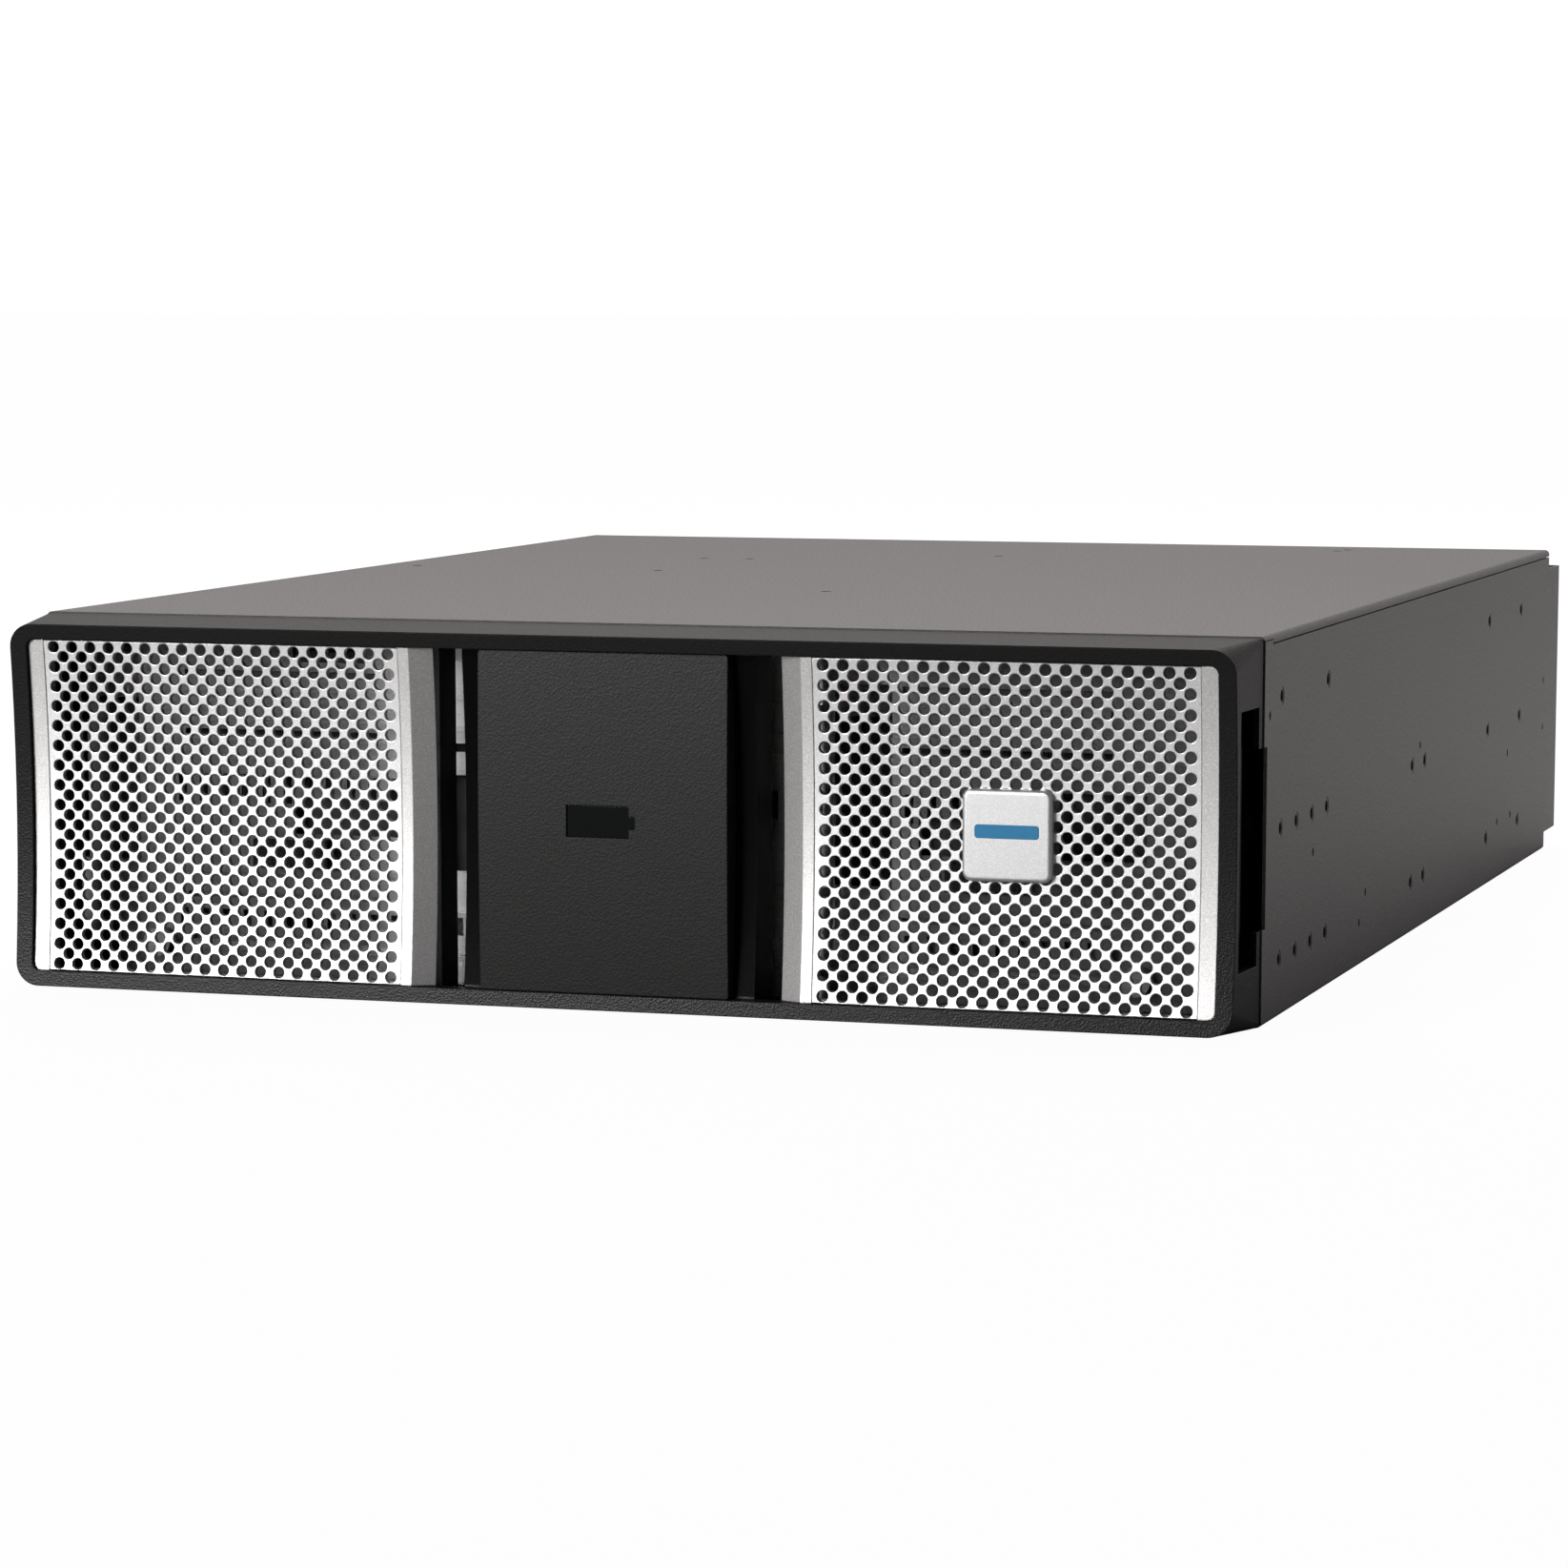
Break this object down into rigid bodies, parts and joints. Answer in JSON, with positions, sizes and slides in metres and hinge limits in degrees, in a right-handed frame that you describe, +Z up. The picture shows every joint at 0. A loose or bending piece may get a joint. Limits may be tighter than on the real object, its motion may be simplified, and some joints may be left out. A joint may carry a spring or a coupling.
{
  "type": "rack battery module",
  "caption": "Three-unit rack battery module with a black steel chassis, a bezel with silver perforated grilles, a pull-off centre cover and slide-out battery trays.",
  "frame": {"origin": "centre of the whole unit's footprint, on its underside", "axes": "+X right seen from the front, the front faces -Y, +Z up"},
  "size_m": [0.44, 0.645, 0.13],
  "materials": {
    "painted_steel": "fine textured powder coat",
    "fastener_black": "black zinc",
    "plated_steel": "zinc plated",
    "connector_grey": "moulded",
    "connector_blue": "moulded",
    "connector_black": "moulded",
    "breaker_plastic": "moulded",
    "handle_plastic": "moulded",
    "steel_pin": "turned",
    "silvered_copper": "silvered",
    "circuit_board": "solder mask",
    "fuse_ceramic": "ceramic",
    "cable_red": "cable sheath",
    "cable_black": "cable sheath",
    "bezel_plastic": "fine leather grain",
    "cover_plastic": "fine leather grain",
    "window_gloss": "gloss",
    "badge_metal": "satin paint",
    "silver_plastic": "silver paint",
    "silver_mesh": "silver paint",
    "battery_plastic": "moulded",
    "battery_lid_plastic": "moulded",
    "lead_packs": "dull",
    "clear_film": "clear film",
    "webbing": "woven"
  },
  "bodies": {
    "chassis": {"breaker_body": "breaker_plastic", "breaker_pin": "steel_pin", "centre_divider": "plated_steel", "chassis_tray": "painted_steel", "cover_studs": "fastener_black", "dc_connectors": "connector_blue", "dc_contacts": "silvered_copper", "detection_board": "circuit_board", "detection_sockets": "connector_black", "front_sockets": "connector_grey", "fuse_holder": "connector_black", "fuses": "fuse_ceramic", "ground_screw": "steel_pin", "harness_black": "cable_black", "harness_red": "cable_red", "press_nuts": "fastener_black", "rear_guard_left": "painted_steel", "rear_guard_right": "painted_steel", "rear_panel": "painted_steel", "rear_screws": "fastener_black", "side_rivets": "fastener_black", "socket_bracket": "plated_steel", "top_cover": "painted_steel"},
    "front_bezel": {"badge_plate": "badge_metal", "bezel_clips": "bezel_plastic", "bezel_frame": "bezel_plastic", "grille_mesh_left": "silver_mesh", "grille_mesh_right": "silver_mesh", "grille_surround_left": "silver_plastic", "grille_surround_right": "silver_plastic"},
    "centre_cover_unit": {"centre_cover": "cover_plastic", "cover_hooks": "steel_pin", "icon_window": "window_gloss"},
    "tray_left": {"battery_cases_left": "battery_plastic", "battery_cores_left": "lead_packs", "battery_lids_left": "battery_lid_plastic", "battery_plug_left": "connector_grey", "battery_terminals_left": "silvered_copper", "battery_tray_left": "plated_steel", "insulation_sheet_left": "clear_film", "link_cables_left": "cable_red", "plug_leads_left": "cable_black", "pull_loop_left": "webbing", "tray_front_plate_left": "plated_steel", "tray_screws_left": "steel_pin"},
    "tray_right": {"battery_cases_right": "battery_plastic", "battery_cores_right": "lead_packs", "battery_lids_right": "battery_lid_plastic", "battery_plug_right": "connector_grey", "battery_terminals_right": "silvered_copper", "battery_tray_right": "plated_steel", "insulation_sheet_right": "clear_film", "link_cables_right": "cable_red", "plug_leads_right": "cable_black", "pull_loop_right": "webbing", "tray_front_plate_right": "plated_steel", "tray_screws_right": "steel_pin"},
    "breaker_lever": {"breaker_handle": "handle_plastic"}
  },
  "joints": [
    {"name": "bezel_pull", "type": "slide", "parent": "chassis", "child": "front_bezel", "axis": [0, -1, 0], "range_m": [0, 0.62]},
    {"name": "cover_pull", "type": "slide", "parent": "front_bezel", "child": "centre_cover_unit", "axis": [0, -1, 0], "range_m": [0, 0.08]},
    {"name": "tray_left_slide", "type": "slide", "parent": "chassis", "child": "tray_left", "axis": [0, -1, 0], "range_m": [0, 0.496]},
    {"name": "tray_right_slide", "type": "slide", "parent": "chassis", "child": "tray_right", "axis": [0, -1, 0], "range_m": [0, 0.496]},
    {"name": "breaker_toggle", "type": "hinge", "parent": "chassis", "child": "breaker_lever", "pos_m": [0.034, 0.2845, 0.064], "axis": [1, 0, 0], "range_deg": [-40, 0]}
  ],
  "couplings": [
    {"joint": "tray_left_slide", "follows": "bezel_pull", "ratio": 0.8},
    {"joint": "tray_right_slide", "follows": "bezel_pull", "ratio": 0.8}
  ]
}
